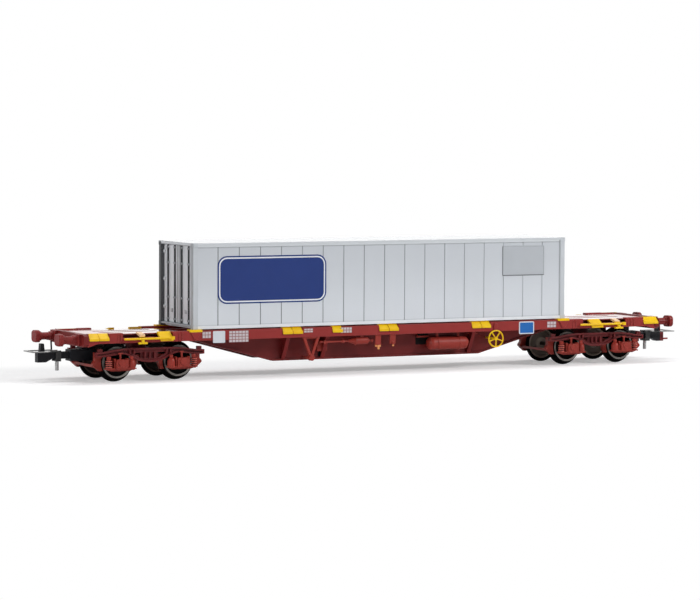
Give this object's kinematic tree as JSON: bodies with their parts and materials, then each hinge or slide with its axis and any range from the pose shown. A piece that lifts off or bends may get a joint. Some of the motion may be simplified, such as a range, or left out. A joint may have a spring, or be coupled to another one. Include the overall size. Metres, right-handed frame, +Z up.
{
  "type": "model container wagon with container",
  "caption": "Model bogie flat wagon with fish-belly frame, carrying a long box container that lifts off.",
  "frame": {"origin": "centre of the wagon on the plane that the wheel flanges stand on", "axes": "+X along the wagon, -Y towards the side with the brake gear, +Z up"},
  "size_m": [0.2424, 0.0314, 0.0442],
  "materials": {
    "frame_red": "matte oxide red moulded plastic",
    "spigot_yellow": "satin yellow paint on plastic",
    "coupler_black": "black moulded plastic",
    "loop_steel": "blackened steel wire",
    "axle_box_red": "brighter red moulded plastic",
    "wheel_rim": "burnished wheel metal",
    "axle_steel": "turned steel",
    "container_silver": "silver grey lacquer",
    "door_grey": "grey satin paint",
    "roof_white": "pale grey satin paint"
  },
  "bodies": {
    "frame": {"air_tank": "frame_red", "brake_bracket": "frame_red", "brake_cylinder": "frame_red", "buffers_left": "frame_red", "buffers_right": "frame_red", "corner_spigots": "spigot_yellow", "coupler_bracket_left": "coupler_black", "coupler_bracket_right": "coupler_black", "cross_members": "frame_red", "end_deck_left": "frame_red", "end_deck_right": "frame_red", "frame_bolster_left": "frame_red", "frame_bolster_right": "frame_red", "hand_levers_far": "spigot_yellow", "hand_levers_near": "spigot_yellow", "handwheel_far": "spigot_yellow", "handwheel_near": "spigot_yellow", "headstock_left": "frame_red", "headstock_right": "frame_red", "main_beam_far": "frame_red", "main_beam_near": "frame_red", "sill_far": "frame_red", "sill_near": "frame_red", "spigot_flaps_far": "spigot_yellow", "spigot_flaps_near": "spigot_yellow", "valve_handles": "frame_red"},
    "container": {"container_door_far": "door_grey", "container_door_near": "door_grey", "container_end_wall": "container_silver", "container_floor": "container_silver", "container_frame_left": "container_silver", "container_frame_right": "container_silver", "container_roof": "roof_white", "container_side_far": "container_silver", "container_side_near": "container_silver", "door_bars": "door_grey", "door_hinges": "door_grey"},
    "bogie_left": {"axle_boxes_left": "axle_box_red", "bogie_brakes_left": "frame_red", "bogie_frame_left": "frame_red", "bogie_side_left_far": "frame_red", "bogie_side_left_near": "frame_red"},
    "coupler_left": {"coupler_left": "coupler_black"},
    "loop_left": {"coupler_loop_left": "loop_steel"},
    "wheelset_left_outer": {"wheels_left_outer": "wheel_rim", "axle_left_outer": "axle_steel"},
    "wheelset_left_inner": {"wheels_left_inner": "wheel_rim", "axle_left_inner": "axle_steel"},
    "bogie_right": {"axle_boxes_right": "axle_box_red", "bogie_brakes_right": "frame_red", "bogie_frame_right": "frame_red", "bogie_side_right_far": "frame_red", "bogie_side_right_near": "frame_red"},
    "coupler_right": {"coupler_right": "coupler_black"},
    "loop_right": {"coupler_loop_right": "loop_steel"},
    "wheelset_right_outer": {"wheels_right_outer": "wheel_rim", "axle_right_outer": "axle_steel"},
    "wheelset_right_inner": {"wheels_right_inner": "wheel_rim", "axle_right_inner": "axle_steel"}
  },
  "joints": [
    {"name": "bogie_left_turn", "type": "hinge", "parent": "frame", "child": "bogie_left", "pos_m": [-0.084, 0, 0.0115], "axis": [0, 0, 1], "range_deg": [-12, 12]},
    {"name": "wheelset_left_outer_spin", "type": "hinge", "parent": "bogie_left", "child": "wheelset_left_outer", "pos_m": [-0.0947, 0, 0.0063], "axis": [0, 1, 0], "continuous": true},
    {"name": "wheelset_left_inner_spin", "type": "hinge", "parent": "bogie_left", "child": "wheelset_left_inner", "pos_m": [-0.0733, 0, 0.0063], "axis": [0, 1, 0], "continuous": true},
    {"name": "coupler_left_swing", "type": "hinge", "parent": "frame", "child": "coupler_left", "pos_m": [-0.1003, 0, 0.009], "axis": [0, 0, 1], "range_deg": [-10, 10]},
    {"name": "loop_left_lift", "type": "hinge", "parent": "coupler_left", "child": "loop_left", "pos_m": [-0.1114, 0, 0.0085], "axis": [0, 1, 0], "range_deg": [0, 20]},
    {"name": "bogie_right_turn", "type": "hinge", "parent": "frame", "child": "bogie_right", "pos_m": [0.084, 0, 0.0115], "axis": [0, 0, 1], "range_deg": [-12, 12]},
    {"name": "wheelset_right_outer_spin", "type": "hinge", "parent": "bogie_right", "child": "wheelset_right_outer", "pos_m": [0.0947, 0, 0.0063], "axis": [0, 1, 0], "continuous": true},
    {"name": "wheelset_right_inner_spin", "type": "hinge", "parent": "bogie_right", "child": "wheelset_right_inner", "pos_m": [0.0733, 0, 0.0063], "axis": [0, 1, 0], "continuous": true},
    {"name": "coupler_right_swing", "type": "hinge", "parent": "frame", "child": "coupler_right", "pos_m": [0.1003, 0, 0.009], "axis": [0, 0, 1], "range_deg": [-10, 10]},
    {"name": "loop_right_lift", "type": "hinge", "parent": "coupler_right", "child": "loop_right", "pos_m": [0.1114, 0, 0.0085], "axis": [0, -1, 0], "range_deg": [0, 20]},
    {"name": "container_lift", "type": "slide", "parent": "frame", "child": "container", "axis": [0, 0, 1], "range_m": [0, 0.02]}
  ]
}
